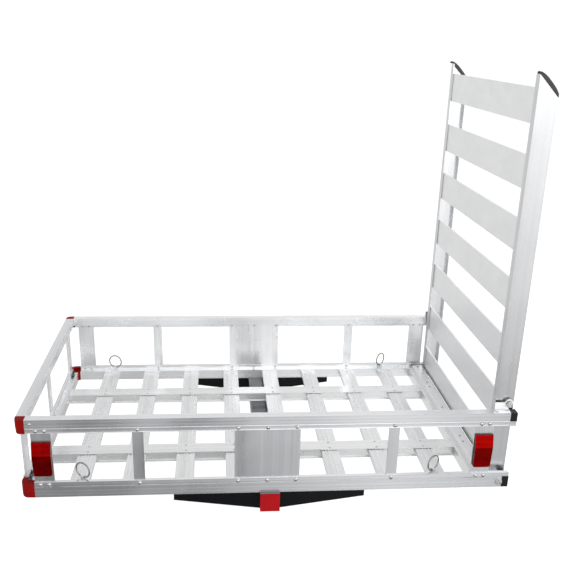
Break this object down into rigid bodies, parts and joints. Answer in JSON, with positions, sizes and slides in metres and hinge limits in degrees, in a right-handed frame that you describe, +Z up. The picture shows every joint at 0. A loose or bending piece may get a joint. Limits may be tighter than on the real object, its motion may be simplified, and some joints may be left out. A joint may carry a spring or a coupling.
{
  "type": "hitch cargo carrier",
  "caption": "Aluminium basket carrier on a black steel hitch shank, with red corner caps, side reflectors and a slatted loading ramp hinged across one end.",
  "frame": {"origin": "centre of the shank's underside, straight below the hitch pin hole", "axes": "+X along the basket from the closed end to the ramp end, +Y along the shank towards the vehicle, +Z up"},
  "size_m": [1.256, 1.0113, 1.0851],
  "materials": {
    "rail_aluminium": "mill finish with fine extrusion lines",
    "deck_aluminium": "mill finish with fine ribs along the slats",
    "ramp_aluminium": "smooth satin",
    "cap_plastic": "satin gloss",
    "shank_plug_plastic": "satin gloss",
    "plug_plastic": "fine matt",
    "reflector_plastic": "clear gloss over a prism pattern",
    "coated_steel": "glossy black coat",
    "plated_steel": "bright zinc plate"
  },
  "bodies": {
    "carrier": {"rail_upper_front": "rail_aluminium", "rail_lower_front": "rail_aluminium", "rail_upper_rear": "rail_aluminium", "rail_lower_rear": "rail_aluminium", "rail_upper_left": "rail_aluminium", "rail_lower_left": "rail_aluminium", "rail_hinge": "rail_aluminium", "post_corner_front_left": "rail_aluminium", "post_narrow_front_left": "rail_aluminium", "panel_centre_front": "rail_aluminium", "post_narrow_front_right": "rail_aluminium", "post_corner_front_right": "rail_aluminium", "post_corner_rear_left": "rail_aluminium", "post_narrow_rear_left": "rail_aluminium", "panel_centre_rear": "rail_aluminium", "post_narrow_rear_right": "rail_aluminium", "post_corner_rear_right": "rail_aluminium", "post_left_front": "rail_aluminium", "post_left_middle": "rail_aluminium", "post_left_rear": "rail_aluminium", "cap_upper_front": "cap_plastic", "cap_lower_front": "cap_plastic", "plug_upper_front": "plug_plastic", "plug_lower_front": "plug_plastic", "cap_upper_rear": "cap_plastic", "cap_lower_rear": "cap_plastic", "plug_upper_rear": "plug_plastic", "plug_lower_rear": "plug_plastic", "deck_bar_front": "deck_aluminium", "deck_bar_middle": "deck_aluminium", "deck_bar_rear": "deck_aluminium", "deck_slat_1": "deck_aluminium", "deck_slat_2": "deck_aluminium", "deck_slat_3": "deck_aluminium", "deck_slat_4": "deck_aluminium", "deck_slat_5": "deck_aluminium", "deck_slat_6": "deck_aluminium", "deck_slat_7": "deck_aluminium", "deck_slat_8": "deck_aluminium", "reflector_left": "reflector_plastic", "reflector_right": "reflector_plastic", "hinge_bolt_front": "plated_steel", "hinge_bolt_rear": "plated_steel", "hitch_subframe": "coated_steel", "shank_plug": "shank_plug_plastic"},
    "ramp": {"ramp_stile_front": "ramp_aluminium", "ramp_stile_rear": "ramp_aluminium", "ramp_rung_1": "ramp_aluminium", "ramp_rung_2": "ramp_aluminium", "ramp_rung_3": "ramp_aluminium", "ramp_rung_4": "ramp_aluminium", "ramp_rung_5": "ramp_aluminium", "ramp_rung_6": "ramp_aluminium", "ramp_rung_7": "ramp_aluminium"},
    "ring_front_left": {"ring_front_left": "plated_steel"},
    "ring_front_right": {"ring_front_right": "plated_steel"},
    "ring_rear_left": {"ring_rear_left": "plated_steel"},
    "ring_rear_right": {"ring_rear_right": "plated_steel"},
    "latch_pin_front": {"latch_pin_front": "plated_steel"},
    "latch_pin_rear": {"latch_pin_rear": "plated_steel"}
  },
  "joints": [
    {"name": "ramp_hinge", "type": "hinge", "parent": "carrier", "child": "ramp", "pos_m": [0.6037, -0.5725, 0.0675], "axis": [0, 1, 0], "range_deg": [0, 115]},
    {"name": "ring_front_left_hinge", "type": "hinge", "parent": "carrier", "child": "ring_front_left", "pos_m": [-0.474, -0.923, 0.0941], "axis": [0.866, -0.5, 0], "range_deg": [-85, 30]},
    {"name": "ring_front_right_hinge", "type": "hinge", "parent": "carrier", "child": "ring_front_right", "pos_m": [0.43, -0.923, 0.0941], "axis": [0.8192, 0.5736, 0], "range_deg": [-85, 30]},
    {"name": "ring_rear_left_hinge", "type": "hinge", "parent": "carrier", "child": "ring_rear_left", "pos_m": [-0.474, -0.222, 0.0941], "axis": [0.9659, -0.2588, 0], "range_deg": [-30, 85]},
    {"name": "ring_rear_right_hinge", "type": "hinge", "parent": "carrier", "child": "ring_rear_right", "pos_m": [0.43, -0.222, 0.0941], "axis": [0.7547, 0.6561, 0], "range_deg": [-30, 85]},
    {"name": "latch_pin_front_slide", "type": "slide", "parent": "carrier", "child": "latch_pin_front", "axis": [0, 1, 0], "range_m": [0, 0.005]},
    {"name": "latch_pin_rear_slide", "type": "slide", "parent": "carrier", "child": "latch_pin_rear", "axis": [0, -1, 0], "range_m": [0, 0.005]}
  ]
}
